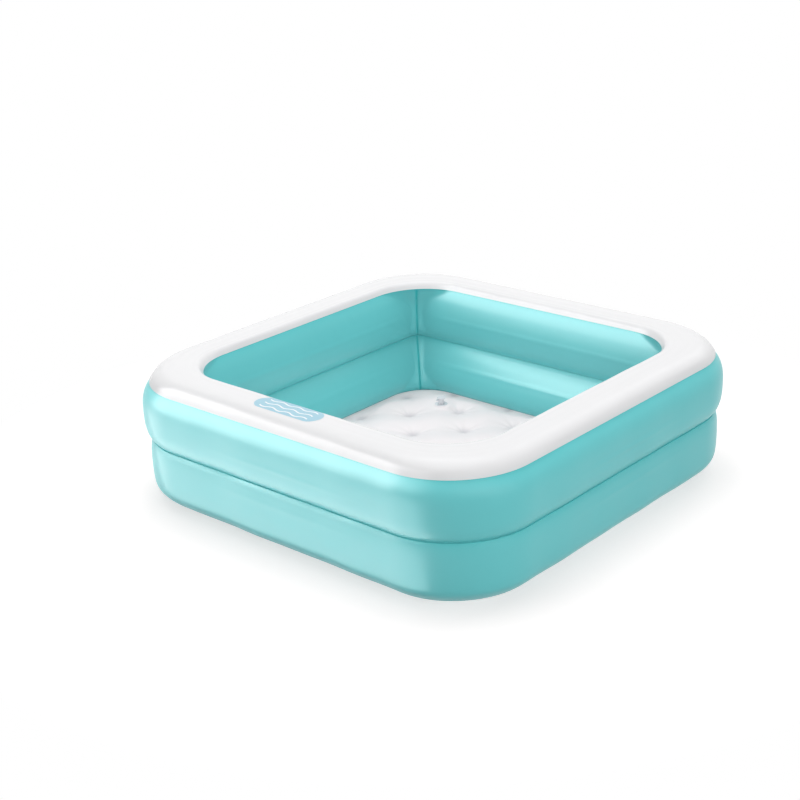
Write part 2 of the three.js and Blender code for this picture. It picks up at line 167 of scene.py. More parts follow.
def ring_quads(stations, ring, goes_round):
    """Quads between rings of points that are each a closed loop. The last ring joins the first if
    the piece goes round; otherwise each end is closed from the ring's first half to its second."""
    index = np.arange(stations * ring).reshape(stations, ring)
    near, far = (index, np.roll(index, -1, 0)) if goes_round else (index[:-1], index[1:])
    corners = [near, far, np.roll(far, -1, 1), np.roll(near, -1, 1)]
    quads = np.stack(corners, axis=-1).reshape(-1, 4)
    if goes_round:
        return quads
    k = np.arange(ring // 2 - 1)
    end = np.stack([k, k + 1, ring - 2 - k, ring - 1 - k], axis=-1)
    return np.concatenate([quads, index[0][end], index[-1][end][:, ::-1]])


def film_piece(name, outline, face, thickness, weld_and_shade=None, goes_round=True):
    """A closed film: the face's profile and the same profile moved by the thickness, joined into a
    loop and carried along the outline. weld_and_shade is each face point's share of the welds'
    colour, which is partly painted shade."""
    loop = np.concatenate([face, beside(face, thickness)[..., ::-1, :]], axis=-2)
    points = placed(outline, loop)
    if weld_and_shade is not None:
        weld_and_shade = np.broadcast_to(np.concatenate([weld_and_shade, weld_and_shade[..., ::-1]], axis=-1), points.shape[:2])
    quads = ring_quads(*points.shape[:2], goes_round)
    return new_piece(name, points.reshape(-1, 3), quads, "pool", weld_and_shade)


def keep_modifiers(piece):
    """Puts the result of the piece's modifiers into its own mesh."""
    graph = bpy.context.evaluated_depsgraph_get()
    mesh = bpy.data.meshes.new_from_object(piece.evaluated_get(graph))
    piece.modifiers.clear()
    piece.data = mesh


def close_poles(piece):
    """Merges the points that lie on one spot, where a loop starts and ends in a pole."""
    piece.data.validate()
    merge = piece.modifiers.new("poles", "WELD")
    merge.merge_threshold = merge_distance
    keep_modifiers(piece)


def node(tree, kind, inputs=(), **settings):
    """Adds a node, sets its settings, and feeds its inputs: each is a socket's name or number and
    then a value or another node's output."""
    made = tree.nodes.new(kind)
    for key, value in settings.items():
        setattr(made, key, value)
    for key, value in dict(inputs).items():
        if isinstance(value, bpy.types.NodeSocket):
            tree.links.new(value, made.inputs[key])
        else:
            made.inputs[key].default_value = value
    return made


def film_finish_group():
    """What every PVC film shows: a cloudy tone from uneven pigment, a darker colour at the welds,
    which is partly the pressed line and partly painted shade in the crease and round the floor's
    welded spots, faint handling marks in the gloss, and slack waves and fine grain in its height."""
    group = bpy.data.node_groups.new("film finish", "ShaderNodeTree")
    sockets = (
        ("INPUT", "Color", "NodeSocketColor"),
        ("INPUT", "Weld and Shade Color", "NodeSocketColor"),
        ("INPUT", "Cloudiness", "NodeSocketFloat"),
        ("INPUT", "Roughness", "NodeSocketFloat"),
        ("INPUT", "Handling", "NodeSocketFloat"),
        ("INPUT", "Grain", "NodeSocketFloat"),
        ("OUTPUT", "Color", "NodeSocketColor"),
        ("OUTPUT", "Roughness", "NodeSocketFloat"),
        ("OUTPUT", "Height", "NodeSocketFloat"),
    )
    for way, name, kind in sockets:
        group.interface.new_socket(name, in_out=way, socket_type=kind)
    given = node(group, "NodeGroupInput").outputs
    place = node(group, "ShaderNodeTexCoord").outputs["Object"]
    weld_and_shade = node(group, "ShaderNodeAttribute", attribute_name="weld_and_shade").outputs["Fac"]

    def noise(settings):
        """A noise from 0 to 1 at the point's own place on the piece."""
        return node(group, "ShaderNodeTexNoise", {"Vector": place, **settings}).outputs["Fac"]

    def centred(value):
        """The value less a half, so that noise goes as far down as up."""
        return node(group, "ShaderNodeMath", {0: value, 1: 0.5}, operation="SUBTRACT").outputs[0]

    def plus_share(value, other, share):
        """The value plus a share of the other."""
        sockets = {0: other, 1: share, 2: value}
        return node(group, "ShaderNodeMath", sockets, operation="MULTIPLY_ADD").outputs[0]

    tone = plus_share(1, centred(noise(cloud_noise)), given["Cloudiness"])
    clouded = node(group, "ShaderNodeHueSaturation", {"Value": tone, "Color": given["Color"]})
    tones = {"Factor": weld_and_shade, "A": clouded.outputs[0], "B": given["Weld and Shade Color"]}
    pressed_and_shaded = node(group, "ShaderNodeMix", tones, data_type="RGBA")
    gloss = plus_share(given["Roughness"], centred(noise(handling_noise)), given["Handling"])
    height = plus_share(noise(slack_noise), noise(grain_noise), given["Grain"])
    made = {"Color": pressed_and_shaded.outputs["Result"], "Roughness": gloss, "Height": height}
    node(group, "NodeGroupOutput", made)
    return group


film_finish = film_finish_group()


def film_material(name, color, weld_and_shade_color, cloudiness, roughness, handling, grain, wave_height):
    """A glossy film: the finish group's tone, gloss and height under a clear smooth surface."""
    material = bpy.data.materials.new(name)
    material.use_nodes = True
    tree = material.node_tree
    tree.nodes.clear()
    finish = node(tree, "ShaderNodeGroup", {
        "Color": color,
        "Weld and Shade Color": weld_and_shade_color,
        "Cloudiness": cloudiness,
        "Roughness": roughness,
        "Handling": handling,
        "Grain": grain,
    }, node_tree=film_finish)
    bump = node(tree, "ShaderNodeBump", {"Height": finish.outputs["Height"], "Distance": wave_height})
    shader = node(tree, "ShaderNodeBsdfPrincipled", {
        "Base Color": finish.outputs["Color"],
        "Roughness": finish.outputs["Roughness"],
        "Normal": bump.outputs["Normal"],
        "Specular IOR Level": film_gloss,
    })
    node(tree, "ShaderNodeOutputMaterial", {"Surface": shader.outputs["BSDF"]})
    return material, shader


base_film, _ = film_material(
    "base film", base_white, base_weld_white,
    cloudiness=0.04, roughness=0.42, handling=0.1, grain=0.06, wave_height=0.0004,
)

ground_line = line(pool_half - ground_inset, ground_radius, weld_step)
middle = np.array((0, 0, film))
base_edge = ground_line * (1, 1, 0) + middle
base_face = mix(middle, base_edge, np.linspace(0, 1, base_steps)[:, None])
rings = whole_outline(corner_steps, side_steps)
base = film_piece("base_film", rings, base_face, -film)
close_poles(base)
base.data.materials.append(base_film)
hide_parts("base_sheet")

# Lower outer wall: a blue-green PVC film, blown out into the lower half of the pool's side. It is
# welded to the base at the ground and to the ring divider in the crease, and slack stays in it.
crease_height = 0.1204
outer_crease_inset = 0.0145
outer_crease_radius = 0.15
lower_bulge_inset = 0.007
weld_width = 0.006
weld_fade = 0.006
# How much of the welds' darker colour lies on a weld: partly the pressed film, partly painted shade in
# the crease.
weld_and_shade_share = 0.5
band_steps = 44
lap_steps = 4
slack_depth = 0.0004
slack_waves_round = (9, 14, 23)
pleat_depth = 0.0011
pleat_reach = 0.012
pleats_round = 120
fold_height = 0.001
fold_half_width = 0.003
fold_wander = 0.003
fold_phase = 2.1
lower_fold_level = 0.096
lower_valve_x = 0.12
valve_calm = 0.015
lower_height_shares = (1, 0.9, 0.74, 0.42, 0.24, 0.1, 0.04, 0)
lower_bulge_shares = (0.89, 0.96, 1, 1, 0.92, 0.6, 0.32, 0)
wall_teal = (0.15, 0.67, 0.695, 1)
# The welds' deeper blue-green is partly the pressed film and partly painted shade, which darkens the
# crease between the rings and the band beside it.
weld_and_crease_shade_teal = (0.03, 0.56, 0.58, 1)
wall_coat = 0.5
wall_coat_roughness = 0.3


def smooth_runs(steps, *value_lists):
    """Smooth curves through lists of given values: between two of them each is the cubic whose
    slope at each end is half the difference of the values either side of that end."""
    values = np.stack(value_lists, axis=-1).astype(float)
    slope = np.gradient(values, axis=0)
    at = np.linspace(0, len(values) - 1, steps)
    i = np.minimum(at.astype(int), len(values) - 2)
    t = (at - i)[:, None]
    from_start = (1 + 2 * t) * (1 - t) ** 2 * values[i] + t * (1 - t) ** 2 * slope[i]
    curves = from_start + t ** 2 * (3 - 2 * t) * values[i + 1] + t ** 2 * (t - 1) * slope[i + 1]
    return curves.T


def along(profile):
    """Distance along a profile from its first point."""
    step = np.linalg.norm(np.diff(profile[:, [0, 2]], axis=0), axis=1)
    return np.concatenate([[0], np.cumsum(step)])


def nearness(profile, *welds):
    """The share of the welds' colour, which in the crease is painted shade as much as pressed film:
    weld_and_shade_share at the profile's points that are welded, fading out beside them as e to the
    minus distance over weld_fade."""
    at = along(profile)
    return weld_and_shade_share * sum(np.exp(-np.abs(at - at[i]) / weld_fade) for i in welds)


def freedom(profile):
    """0 at the two ends of a profile, where it is welded, and 1 from the weld's width inwards."""
    at = along(profile)
    return np.clip(np.minimum(at, at[-1] - at) / weld_width - 1, 0, 1)


def smoothly(share):
    """Goes from 0 to 1 with level ends: three times the square less twice the cube."""
    share = np.clip(share, 0, 1)
    return share ** 2 * (3 - 2 * share)


def long_fold(profile, level):
    """A soft fold that runs along a slack film: a bell curve of how far a point is from the level.
    A level that the profile doesn't come near leaves it without one."""
    return fold_height * np.exp(-(((profile[:, 2] - level) / fold_half_width) ** 2))


def slackened(outline, profile, crease, fold_level, valve, depth_share=1):
    """The profile at every station, pushed out and in by a sum of slack waves round the pool and by
    pleats, which stand across the crease where the wall turns a corner and fade out away from it. A
    long fold wanders about its level on each side. The back stays flat round the valve's place."""
    points = placed(outline, ground_line[None])[:, 0, :2]
    step = np.linalg.norm(points - np.roll(points, 1, axis=0), axis=1)
    around = 2 * np.pi * (np.cumsum(step) / np.sum(step))[:, None]
    slack = sum(np.sin(waves * around + waves) for waves in slack_waves_round)
    corner = np.sin(2 * outline[1])[:, None] ** 2
    off_crease = np.abs(profile[:, 2] - crease)
    pleats = np.cos(pleats_round * around) * corner * np.exp(-off_crease / pleat_reach)
    fold_share = np.clip(np.cos(4 * around + fold_phase), 0, 1)
    fold = long_fold(profile, fold_level + fold_wander * np.sin(around)) * fold_share
    off_valve = np.hypot(points[:, :1] - valve[0], profile[:, 2] - valve[1])
    calm = smoothly(off_valve / valve_calm - 1) ** (points[:, 1:] > 0)
    moved = np.repeat(profile[None], len(around), axis=0)
    slack = slack_depth * slack + pleat_depth * pleats + fold
    moved[..., 0] += slack * calm * freedom(profile) * depth_share
    return moved


teal_film, teal_shader = film_material(
    "wall film", wall_teal, weld_and_crease_shade_teal,
    cloudiness=0.05, roughness=0.5, handling=0.06, grain=0.04, wave_height=0.0005,
)
teal_shader.inputs["Coat Weight"].default_value = wall_coat
teal_shader.inputs["Coat Roughness"].default_value = wall_coat_roughness

outer_crease = line(pool_half - outer_crease_inset, outer_crease_radius, crease_height)
weld_lift = np.array((0, 0, film / 2 + weld_gap))
lap = np.linspace(1, 0, lap_steps, endpoint=False)[:, None] * (weld_width, 0, 0)
crease_below = outer_crease - weld_lift
height_share, bulge_share = smooth_runs(band_steps, lower_height_shares, lower_bulge_shares)
lower_band = mix(ground_line, crease_below, height_share[:, None])
lower_band[:, 0] = mix(ground_line[0], pool_half - lower_bulge_inset, bulge_share)
lower_outer_face = np.concatenate([crease_below - lap, lower_band, ground_line - lap[::-1]])
lower_welds = nearness(lower_outer_face, lap_steps, lap_steps + band_steps - 1)
lower_valve_height = crease_height * (lower_height_shares[2] + lower_height_shares[3]) / 2
lower_valve = (lower_valve_x, lower_valve_height)
lower_outer_walls = slackened(rings, lower_outer_face, crease_height, lower_fold_level, lower_valve)
lower_outer = film_piece("lower_outer_film", rings, lower_outer_walls, -film, lower_welds)
lower_outer.data.materials.append(teal_film)
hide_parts("lower_outer_wall")
# The rim, the floor and the ground are neutral in the photo, so the walls throw no blue-green on them.
lower_outer.visible_diffuse = False

# Lower inner walls: four blue-green films, one to a side, that bulge into the basin. Each is welded
# to the divider in the crease, to the base beside the floor, and to its neighbours in the corners,
# where the film is gathered into small folds that fan out from the foot of the corner seam.
inner_crease_inset = 0.093
inner_crease_radius = 0.022
inner_bulge = 0.018
inner_bulge_radius = 0.018
floor_edge_inset = 0.116
floor_edge_height = 0.018
floor_edge_radius = 0.08
foot_reach = 0.006
bend_steps = 14
run_steps = 90
seam_depth = 0.0022
seam_reach = 0.0016
seam_fade = 0.0018
fold_depth = 0.0009
fold_start = 0.006
fold_reach = 0.026
folds_in_fan = 7
fold_from_seam = 0.03
lower_inner_fold_level = 0.078
inner_height_shares = (0, 0.08, 0.24, 0.5, 0.76, 0.92, 1)
inner_bulge_shares = (0, 0.5, 0.92, 0.96, 0.62, 0.26, 0)
sides = ("right", "back", "left", "front")


def side_outline(side):
    """Stations along one side, from the diagonal before it to the diagonal after it, closer
    together towards both: the share of the side is half of one minus a cosine."""
    bend = np.linspace(-0.5, 0, bend_steps, endpoint=False)
    run = 0.5 - 0.5 * np.cos(np.linspace(0, np.pi, run_steps))
    turn = side + np.concatenate([bend, 0 * run, -bend[::-1]])
    share = np.concatenate([0 * bend, run, 0 * bend + 1])[:, None]
    return mix(corner_signs[side - 1], corner_signs[side], share), turn * np.pi / 2


def inner_band(low, high):
    """A band of the inner wall between two lines. It lies inside their chord by the bulge times its
    share, and the corner's radius goes over to the bulge's own as the sine of the way to its middle."""
    height, bulge = smooth_runs(band_steps, inner_height_shares, inner_bulge_shares)
    band = mix(low, high, height[:, None])
    radius = mix(band[:, 0] - band[:, 1], inner_bulge_radius, np.sin(np.pi * np.clip(height, 0, 1)))
    band[:, 0] -= inner_bulge * bulge
    band[:, 1] = band[:, 0] - radius
    return band


def off_diagonal(points):
    """How far points are from the corner seam, which stands on the diagonal."""
    return np.abs(np.abs(points[..., 0]) - np.abs(points[..., 1])) / math.sqrt(2)


def seam_nearness(outline, profile):
    """1 on the corner seam, fading out beside it as e to the minus distance over seam_fade."""
    return np.exp(-off_diagonal(placed(outline, profile)) / seam_fade)


def gathered(outline, profile, foot_height, fold_level):
    """The profile at every station, drawn back into a groove along the corner seam, with folds that
    fan out from the seam's foot: a cosine of the angle there, faded with the distance from it. A long
    fold stands out between the seams."""
    points = placed(outline, profile)
    off_seam = off_diagonal(points)
    rise = points[..., 2] - foot_height
    from_foot = np.hypot(off_seam, rise)
    fan = np.cos(4 * folds_in_fan * np.arctan2(rise, off_seam))
    fade = np.clip(from_foot / fold_start, 0, 1) * np.exp(-from_foot / fold_reach)
    groove = seam_depth * np.exp(-((off_seam / seam_reach) ** 2))
    fold = long_fold(profile, fold_level) * smoothly(off_seam / fold_from_seam - 1)
    moved = np.repeat(profile[None], len(points), axis=0)
    moved[..., 0] += (groove + fold_depth * fan * fade - fold) * freedom(profile)
    return moved


inner_crease = line(pool_half - inner_crease_inset, inner_crease_radius, crease_height)
floor_edge = line(pool_half - floor_edge_inset, floor_edge_radius, floor_edge_height)
wall_foot = np.array((floor_edge[0] + foot_reach, floor_edge[1], weld_step))
lower_inner_band = inner_band(floor_edge, inner_crease - weld_lift)[::-1]
lower_inner_face = np.concatenate([
    inner_crease - weld_lift + lap,
    lower_inner_band,
    mix(floor_edge, wall_foot, np.linspace(0, 1, lap_steps)[1:, None]),
    wall_foot + lap[::-1],
])
lower_inner_welds = nearness(lower_inner_face, lap_steps, lap_steps + band_steps - 1)
for side, side_name in enumerate(sides):
    stretch = side_outline(side)
    face = gathered(stretch, lower_inner_face, floor_edge_height, lower_inner_fold_level)
    welds = np.maximum(lower_inner_welds, seam_nearness(stretch, lower_inner_face))
    wall = film_piece(f"lower_inner_film_{side_name}", stretch, face, film, welds, False)
    wall.data.materials.append(teal_film)
    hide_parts(f"lower_inner_wall_{side_name}")
    wall.visible_diffuse = False

# Ring divider: a flat film between the two rings, welded to all four walls in the crease, so that
# each ring holds its own air. Only its edge is seen, in the crease.
divider_steps = 6

divider_ends = np.stack([outer_crease, inner_crease]) - (0, 0, film / 2)
divider_face = mix(divider_ends[0], divider_ends[1], np.linspace(0, 1, divider_steps)[:, None])
divider = film_piece("divider_film", rings, divider_face, -film)
divider.data.materials.append(teal_film)
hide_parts("ring_divider")

# Upper outer wall: the same film, blown out into the upper half of the pool's side. It runs from
# the crease up to the rim, and its top edge is welded under the rim's.
pool_height = 0.25
outer_seam_inset = 0.0145
outer_seam_drop = 0.024
outer_seam_radius = 0.152
inner_seam_inset = 0.096
inner_seam_drop = 0.013
inner_seam_radius = 0.112
rim_steps = 60
upper_fold_level = 0.168
upper_valve_x = -0.12
upper_height_shares = (0, 0.08, 0.22, 0.4, 0.66, 0.84, 1)
upper_bulge_shares = (0, 0.5, 0.86, 1, 1, 0.7, 0)
rim_across_shares = (0, 0.1, 0.26, 0.45, 0.58, 0.78, 0.92, 1)
rim_rise_shares = (0, 0.5, 0.88, 0.99, 1, 0.98, 0.86, 0)

outer_seam = line(pool_half - outer_seam_inset, outer_seam_radius, pool_height - outer_seam_drop)
inner_seam = line(pool_half - inner_seam_inset, inner_seam_radius, pool_height - inner_seam_drop)
across, rise = smooth_runs(rim_steps, rim_across_shares, rim_rise_shares)
rim_face = mix(outer_seam, inner_seam, across[:, None])
rim_face[:, 2] = mix(rim_face[:, 2], pool_height, rise)

crease_above = outer_crease + weld_lift
under_rim = beside(rim_face, weld_step)[:lap_steps]
height_share, bulge_share = smooth_runs(band_steps, upper_height_shares, upper_bulge_shares)
upper_band = mix(crease_above, under_rim[0], height_share[:, None])
upper_band[:, 0] = mix(upper_band[:, 0], pool_half, bulge_share)
upper_outer_face = np.concatenate([crease_above - lap, upper_band, under_rim[1:]])
upper_welds = nearness(upper_outer_face, lap_steps, lap_steps + band_steps - 1)
upper_valve_share = (upper_height_shares[3] + upper_height_shares[4]) / 2
upper_valve_height = mix(crease_height, outer_seam[2], upper_valve_share)
upper_valve = (upper_valve_x, upper_valve_height)
upper_outer_walls = slackened(rings, upper_outer_face, crease_height, upper_fold_level, upper_valve)
upper_outer = film_piece("upper_outer_film", rings, upper_outer_walls, film, upper_welds)
upper_outer.data.materials.append(teal_film)
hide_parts("upper_outer_wall")
upper_outer.visible_diffuse = False

# Upper inner walls: four films that bulge into the basin over the lower ones, made and welded the
# same way, with their top edges under the rim's inner edge.
upper_inner_fold_level = 0.176

under_rim_inside = beside(rim_face[::-1], -weld_step)[:lap_steps]
upper_inner_face = np.concatenate([
    inner_crease + weld_lift + lap,
    inner_band(inner_crease + weld_lift, under_rim_inside[0]),
    under_rim_inside[1:],
])
upper_inner_welds = nearness(upper_inner_face, lap_steps, lap_steps + band_steps - 1)
for side, side_name in enumerate(sides):
    stretch = side_outline(side)
    face = gathered(stretch, upper_inner_face, crease_height, upper_inner_fold_level)
    welds = np.maximum(upper_inner_welds, seam_nearness(stretch, upper_inner_face))
    wall = film_piece(f"upper_inner_film_{side_name}", stretch, face, -film, welds, False)
    wall.data.materials.append(teal_film)
    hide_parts(f"upper_inner_wall_{side_name}")
    wall.visible_diffuse = False

# Rim: a white PVC film over the top of the upper ring, welded along both edges to the walls' films.
# It is the ring's top when the air is in, a broad low crown that leans a little outwards.
rim_white = (0.865, 0.865, 0.875, 1)
rim_weld_white = (0.7, 0.73, 0.75, 1)
rim_slack_share = 0.6
rim_fold_level = 0

white_film, _ = film_material(
    "rim film", rim_white, rim_weld_white,
    cloudiness=0.02, roughness=0.24, handling=0.06, grain=0.04, wave_height=0.0004,
)
rim_welds = nearness(rim_face, 0, rim_steps - 1)
rim_walls = slackened(rings, rim_face, inner_seam[2], rim_fold_level, upper_valve, rim_slack_share)
rim = film_piece("rim_film", rings, rim_walls, film, rim_welds)
rim.data.materials.append(white_film)
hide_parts("rim_sheet")

# Floor: a quilted air cushion. Its clear-white upper film is welded to the base in small spots on a
# diagonal lattice, blown up into rounded cushions between them, and puckered round each spot.
quilt_pitch = 0.071
quilt_offset = (0.008, 0.017)
spot_height = 0.018
crown_height = 0.033
spot_radius = 0.004
quilt_margin = 0.05
floor_corner_ease = 0.004
floor_wall_gap = 0.0006
floor_steps = 190
spot_shade = 0.07
pucker_depth = 0.0009
pucker_reach = 0.011
puckers_round_spot = 9
floor_valve_inset = (0.132, 0.084)
pad_radius = 0.015
pad_blend = 0.014
hole_sides = 32
hole_radius = 0.0073
hole_depth = 0.012
floor_white = (0.985, 0.95, 0.965, 1)
# Painted shade: the grey that the floor film takes in the dimple round each welded spot.
dimple_shade_white = (0.72, 0.7, 0.73, 1)

floor_valve_place = np.array((-1, 1)) * (floor_edge[0] - np.array(floor_valve_inset))


def in_pitches(x, y):
    """How many pitches of the quilt's lattice a place lies from its origin, along x and along y."""
    return (x - quilt_offset[0]) / quilt_pitch, (y - quilt_offset[1]) / quilt_pitch


def quilt_share(x, y):
    """How far the film is up between the spots, 0 to 1: the root of half of one plus the product of
    a cosine along x and one along y."""
    u, v = in_pitches(x, y)
    return np.sqrt(np.maximum(1 + np.cos(np.pi * u) * np.cos(np.pi * v), 0) / 2)


pad_height = mix(spot_height, crown_height, quilt_share(*floor_valve_place))


def puckers(x, y):
    """Folds that stand round the nearest spot like spokes, turned differently from spot to spot. The
    lattice's diagonals are its rows, so the nearest spot is found by rounding half the sum and half
    the difference of the two counts."""
    u, v = in_pitches(x, y)
    row, column = (np.floor(share) + 0.5 for share in ((u + v) / 2, (u - v) / 2))
    away_x = (u - row - column) * quilt_pitch
    away_y = (v - row + column) * quilt_pitch
    distance = np.hypot(away_x, away_y)
    spokes = np.cos(puckers_round_spot * np.arctan2(away_y, away_x) + 2 * row + 3 * column)
    reach = distance / pucker_reach
    return spokes * reach * np.exp(1 - reach) * (distance > spot_radius)


def floor_height(x, y):
    """The height of the quilt: the quilt's share from a spot up to a crown, but level at the floor's
    edge and round the valve, with a smooth blend to both."""
    flat_share = spot_radius / quilt_pitch * np.pi / 2
    share = np.clip((quilt_share(x, y) - flat_share) / (1 - flat_share), 0, 1)
    quilt = mix(spot_height, crown_height, share) + pucker_depth * puckers(x, y)
    beyond = [np.maximum(np.abs(at) - floor_edge[1], 0) for at in (x, y)]
    inside = floor_edge_radius - np.hypot(*beyond)
    quilt = mix(floor_edge_height, quilt, smoothly(inside / quilt_margin))
    off_valve = np.hypot(x - floor_valve_place[0], y - floor_valve_place[1])
    return mix(pad_height, quilt, smoothly((off_valve - pad_radius) / pad_blend))


def floor_skin(inset):
    """A square grid pressed into a rounded square: beyond the corner's centre a square's (u, v)
    goes to a disc's (u * sqrt(1 - v * v / 2), v * sqrt(1 - u * u / 2))."""
    half = floor_edge[0] - floor_wall_gap - inset
    centre = floor_edge[0] - floor_wall_gap - floor_edge_radius - floor_corner_ease
    x, y = np.meshgrid(*[np.linspace(-half, half, floor_steps)] * 2)
    u, v = (np.maximum(np.abs(side) - centre, 0) / (half - centre) for side in (x, y))
    x = np.sign(x) * (np.minimum(np.abs(x), centre) + (half - centre) * u * np.sqrt(1 - v * v / 2))
    y = np.sign(y) * (np.minimum(np.abs(y), centre) + (half - centre) * v * np.sqrt(1 - u * u / 2))
    return np.stack([x, y, floor_height(x, y) - inset], axis=-1).reshape(-1, 3)


def grid_border(index):
    """The indices round the edge of a grid, once round."""
    return np.concatenate([index[0, :-1], index[:-1, -1], index[-1, :0:-1], index[:0:-1, 0]])


def cut_hole(piece, centre, axis):
    """Cuts a round hole through a film, as the valve's skirt needs."""
    bpy.ops.mesh.primitive_cylinder_add(
        vertices=hole_sides, radius=hole_radius, depth=hole_depth, location=centre
    )
    cutter = bpy.context.object
    cutter.rotation_mode = "QUATERNION"
    cutter.rotation_quaternion = Vector((0, 0, 1)).rotation_difference(Vector(axis))
    cut = piece.modifiers.new("valve_hole", "BOOLEAN")
    cut.operation = "DIFFERENCE"
    cut.object = cutter
    keep_modifiers(piece)
    bpy.data.objects.remove(cutter)


floor_film, _ = film_material(
    "floor film", floor_white, dimple_shade_white,
    cloudiness=0.02, roughness=0.42, handling=0.06, grain=0.04, wave_height=0.0004,
)

index = np.arange(floor_steps ** 2).reshape(floor_steps, floor_steps)
cells = np.stack([index[:-1, :-1], index[:-1, 1:], index[1:, 1:], index[1:, :-1]], -1).reshape(-1, 4)
top_skin, under_skin = floor_skin(0), floor_skin(film)
edge = grid_border(index)
feet = [skin[edge] * (1, 1, 0) + (0, 0, weld_step) for skin in (top_skin, under_skin)]
floor_places = np.concatenate([top_skin, under_skin, *feet])
outer_foot = 2 * len(top_skin) + np.arange(len(edge))
loops = [edge, outer_foot, outer_foot + len(edge), edge + len(top_skin)]
strips = [
    np.stack([near, far, np.roll(far, -1), np.roll(near, -1)], axis=-1)
    for near, far in zip(loops[:-1], loops[1:])
]
floor_quads = np.concatenate([cells, cells[:, ::-1] + len(top_skin), *strips])
# Painted shade: the floor film goes grey round each welded spot, as in the shade of its dimple.
dimple_shade = np.exp(-(quilt_share(floor_places[:, 0], floor_places[:, 1]) ** 2) / spot_shade)
floor = new_piece("floor_film", floor_places, floor_quads, "pool", dimple_shade)
cut_hole(floor, (*floor_valve_place, pad_height), (0, 0, 1))
floor.data.materials.append(floor_film)
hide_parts("floor_sheet")

# Badge: a patch with round ends, printed in pale blue on the front of the rim. It is plain but for
# three white ripples along it.
badge_centre = (-0.011, -0.36)
badge_half_length = 0.074
badge_half_width = 0.0215
badge_lift = 0.00012
badge_thickness = 0.0001
badge_stations = 96
badge_rings = 14
ripple_length = 0.037
ripple_height = 0.0024
ripple_spacing = 0.0135
ripple_half_width = 0.0015
ripples_half_length = 0.056
ripples_half_width = 0.0189
badge_blue = (0.36, 0.62, 0.74, 1)
ripple_white = (0.9, 0.93, 0.95, 1)
badge_roughness = 0.3

angle = np.linspace(0, 2 * np.pi, badge_stations, endpoint=False)[:, None]
share = np.linspace(0, 1, badge_rings)
end_centre = np.sign(np.cos(angle)) * (badge_half_length - badge_half_width)
badge_x = end_centre + badge_half_width * np.cos(angle)
badge_y = badge_half_width * np.sin(angle)
x, y = badge_centre[0] + badge_x * share, badge_centre[1] + badge_y * share
over_rim = np.interp(-y, rim_face[::-1, 0], rim_face[::-1, 2]) + badge_lift
badge_loop = np.concatenate([
    np.stack([x, y, over_rim + badge_thickness], axis=-1),
    np.stack([x, y, over_rim], axis=-1)[:, ::-1],
], axis=1)
badge_quads = ring_quads(badge_stations, 2 * badge_rings, True)
badge = new_piece("rim_badge", badge_loop.reshape(-1, 3), badge_quads, "pool")
close_poles(badge)


def badge_material():
    """Pale blue ink with ripples: a place is white where its distance in y from a sine along x,
    folded by the spacing, is under half the ripple's width, in the length and width they take."""
    material = bpy.data.materials.new("rim badge")
    material.use_nodes = True
    tree = material.node_tree
    tree.nodes.clear()

    def maths(operation, a, b, c=0):
        """The result of a maths node."""
        return node(tree, "ShaderNodeMath", {0: a, 1: b, 2: c}, operation=operation).outputs[0]

    place = node(tree, "ShaderNodeTexCoord").outputs["Object"]
    axes = node(tree, "ShaderNodeSeparateXYZ", {0: place}).outputs
    x = maths("SUBTRACT", axes[0], badge_centre[0])
    y = maths("SUBTRACT", axes[1], badge_centre[1])
    phase = maths("MULTIPLY", x, 2 * math.pi / ripple_length)
    wave = maths("MULTIPLY", maths("SINE", phase, 0), ripple_height)
    off_wave = maths("ADD", maths("SUBTRACT", y, wave), ripple_spacing)
    folded = maths("PINGPONG", off_wave, ripple_spacing / 2)
    line_mask = maths("LESS_THAN", folded, ripple_half_width)
    in_length = maths("LESS_THAN", maths("ABSOLUTE", x, 0), ripples_half_length)
    in_width = maths("LESS_THAN", maths("ABSOLUTE", y, 0), ripples_half_width)
    mask = maths("MULTIPLY", line_mask, maths("MULTIPLY", in_length, in_width))
    inks = {"Factor": mask, "A": badge_blue, "B": ripple_white}
    colour = node(tree, "ShaderNodeMix", inks, data_type="RGBA").outputs["Result"]
    looks = {"Base Color": colour, "Roughness": badge_roughness}
    shader = node(tree, "ShaderNodeBsdfPrincipled", looks)
    node(tree, "ShaderNodeOutputMaterial", {"Surface": shader.outputs["BSDF"]})
    return material


badge.data.materials.append(badge_material())

# Valves: soft clear PVC mouldings with a blue cast. A collar is welded to the film, a stem presses in
# and out of it, a plug on a strap closes the stem's mouth, and a flap inside holds the air.
flange_radius = 0.013
flange_thickness = 0.0008
skirt_depth = 0.003
skirt_wall = 0.001
stem_radius = 0.0056
stem_bore_radius = 0.0037
stem_length = 0.0175
stem_running_gap = 0.0004
lip_radius = 0.0072
lip_thickness = 0.0014
lip_rest = 0.0005
cap_radius = 0.0085
cap_thickness = 0.0014
cap_dish = 0.0004
shank_length = 0.007
shank_taper = 0.0004
shank_point = 0.0015
tab_length = 0.0045
tab_width = 0.005
tab_thickness = 0.001
strap_reach = 0.0055
strap_width = 0.0035
strap_thickness = 0.0008
flap_radius = 0.005
flap_thickness = 0.0006
flap_tongue = 0.0014
flap_tongue_width = 0.004
valve_sides = 64
valve_bevel = 0.00018
vinyl_tint = (0.93, 0.96, 1, 1)
vinyl_transmission = 0.1
vinyl_ior = 1.53


def seated(points, valve_place, faces_back):
    """Moves valve points from their own frame, in which +Z points out of the film, to the valve's
    place: on the floor they stay upright, and on the back wall their +Z is turned to +Y."""
    if faces_back:
        points = np.stack([points[..., 0], points[..., 2], -points[..., 1]], axis=-1)
    return points + valve_place


